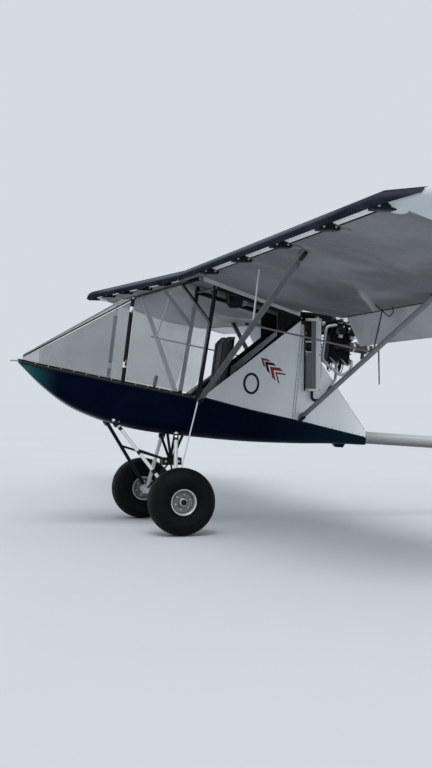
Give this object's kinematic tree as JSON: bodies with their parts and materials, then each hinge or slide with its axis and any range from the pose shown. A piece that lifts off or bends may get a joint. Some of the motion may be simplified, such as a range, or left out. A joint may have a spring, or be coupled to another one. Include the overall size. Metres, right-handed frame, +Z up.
{
  "type": "strut-braced pusher microlight aircraft",
  "caption": "High-wing pusher microlight with an open-sided pod, slatted wing, strut bracing, tall tundra-tyre gear, tail boom and castoring tailwheel.",
  "frame": {"origin": "middle of the bounding box in plan, on the ground under the tyres", "axes": "+X points aft along the ground, +Y to starboard, +Z up"},
  "size_m": [6.37, 8.8, 2.5197],
  "materials": {
    "tyre_rubber": "slick tread rubber",
    "rim_alloy": "dished alloy",
    "hull_navy": "gloss navy with a teal sheen towards the nose",
    "boom_alloy": "bare tube, dull",
    "wing_fabric": "grey sailcloth",
    "flap_fabric": "light grey sailcloth",
    "tip_fabric": "pale translucent sailcloth",
    "slat_navy": "gloss navy",
    "black_metal": "satin black",
    "frame_black": "satin black tube",
    "clear_screen": "clear sheet",
    "fairing_white": "white doped cloth",
    "strut_grey": "dark grey streamlined tube",
    "strut_light": "bright tube",
    "gear_light": "pale grey tube with black tape",
    "engine_black": "black castings",
    "gearbox_alloy": "cast alloy",
    "radiator_alloy": "finned core",
    "prop_black": "black composite",
    "tail_fabric": "light grey sailcloth",
    "seat_cloth": "dark grey woven cloth",
    "exhaust_steel": "heat-stained steel",
    "hose_silver": "silver sleeved hose",
    "pouch_cloth": "dark blue cloth"
  },
  "bodies": {
    "airframe": {"cabin_frame_left": "frame_black", "cabin_frame_right": "frame_black", "control_stick": "black_metal", "coolant_hoses": "hose_silver", "engine_block": "engine_black", "engine_mount": "frame_black", "exhaust": "exhaust_steel", "fairing_back": "fairing_white", "fairing_left": "fairing_white", "fairing_right": "fairing_white", "fin": "tail_fabric", "front_strut_left": "strut_grey", "front_strut_right": "strut_grey", "gear_bracing": "frame_black", "gear_legs_left": "gear_light", "gear_legs_right": "gear_light", "gear_side_braces": "strut_light", "gearbox": "gearbox_alloy", "hull_shell": "hull_navy", "jury_struts": "strut_light", "pitot_tube": "strut_light", "pouch": "pouch_cloth", "radiator": "radiator_alloy", "rear_strut_left": "strut_grey", "rear_strut_right": "strut_grey", "roof_cross_tubes": "frame_black", "rudder_pedals": "black_metal", "seat_back_pad": "seat_cloth", "seat_cushion": "seat_cloth", "seat_tray": "black_metal", "slat_brackets": "black_metal", "slat_left": "slat_navy", "slat_right": "slat_navy", "stabilisers": "tail_fabric", "tail_boom": "boom_alloy", "tail_struts": "strut_light", "tailwheel_leg": "black_metal", "windscreen": "clear_screen", "wing_centre": "wing_fabric", "wing_left": "wing_fabric", "wing_right": "wing_fabric", "wing_tip_left": "tip_fabric", "wing_tip_right": "tip_fabric"},
    "wheel_left": {"tyre_left": "tyre_rubber", "rim_left": "rim_alloy"},
    "wheel_right": {"tyre_right": "tyre_rubber", "rim_right": "rim_alloy"},
    "propeller": {"propeller": "prop_black"},
    "tailwheel_fork": {"tailwheel_fork": "black_metal"},
    "tailwheel": {"tailwheel": "tyre_rubber"},
    "rudder": {"rudder": "tail_fabric"},
    "elevator": {"elevator": "tail_fabric"},
    "flap_left": {"flap_left": "flap_fabric"},
    "flap_right": {"flap_right": "flap_fabric"},
    "aileron_left": {"aileron_left": "flap_fabric"},
    "aileron_right": {"aileron_right": "flap_fabric"},
    "door_left": {"door_left": "clear_screen"},
    "door_right": {"door_right": "clear_screen"}
  },
  "joints": [
    {"name": "wheel_left", "type": "hinge", "parent": "airframe", "child": "wheel_left", "pos_m": [-1.885, -0.667, 0.275], "axis": [0, 1, 0], "continuous": true},
    {"name": "wheel_right", "type": "hinge", "parent": "airframe", "child": "wheel_right", "pos_m": [-1.885, 0.667, 0.275], "axis": [0, 1, 0], "continuous": true},
    {"name": "propeller", "type": "hinge", "parent": "airframe", "child": "propeller", "pos_m": [0.165, 0, 1.875], "axis": [0.9903, 0, -0.1392], "continuous": true},
    {"name": "tailwheel_swivel", "type": "hinge", "parent": "airframe", "child": "tailwheel_fork", "pos_m": [2.715, 0, 0.2475], "axis": [0, 0, 1], "continuous": true},
    {"name": "tailwheel_spin", "type": "hinge", "parent": "tailwheel_fork", "child": "tailwheel", "pos_m": [2.785, 0, 0.075], "axis": [0, 1, 0], "continuous": true},
    {"name": "rudder", "type": "hinge", "parent": "airframe", "child": "rudder", "pos_m": [2.721, 0, 0.98], "axis": [0, 0, 1], "range_deg": [-25, 25]},
    {"name": "elevator", "type": "hinge", "parent": "airframe", "child": "elevator", "pos_m": [2.51508, 0, 0.67141], "axis": [0, 1, 0], "range_deg": [-25, 20]},
    {"name": "flap_left", "type": "hinge", "parent": "airframe", "child": "flap_left", "pos_m": [-0.323, -0.42, 1.83197], "axis": [0, 0.9997, -0.0237], "range_deg": [-50, 0]},
    {"name": "flap_right", "type": "hinge", "parent": "airframe", "child": "flap_right", "pos_m": [-0.323, 0.42, 1.83197], "axis": [0, 0.9997, 0.0237], "range_deg": [-50, 0]},
    {"name": "aileron_left", "type": "hinge", "parent": "airframe", "child": "aileron_left", "pos_m": [-0.323, -2.345, 1.87767], "axis": [0, 0.9997, -0.0237], "range_deg": [-20, 20]},
    {"name": "aileron_right", "type": "hinge", "parent": "airframe", "child": "aileron_right", "pos_m": [-0.323, 2.345, 1.87767], "axis": [0, 0.9997, 0.0237], "range_deg": [-20, 20]},
    {"name": "door_left", "type": "hinge", "parent": "airframe", "child": "door_left", "pos_m": [-2.27456, -0.32, 1.39], "axis": [-0.1166, 0, -0.9932], "range_deg": [0, 75]},
    {"name": "door_right", "type": "hinge", "parent": "airframe", "child": "door_right", "pos_m": [-2.27456, 0.32, 1.39], "axis": [0.1166, 0, 0.9932], "range_deg": [0, 75]}
  ],
  "couplings": [
    {"joint": "flap_right", "follows": "flap_left", "ratio": 1},
    {"joint": "aileron_right", "follows": "aileron_left", "ratio": -1}
  ]
}
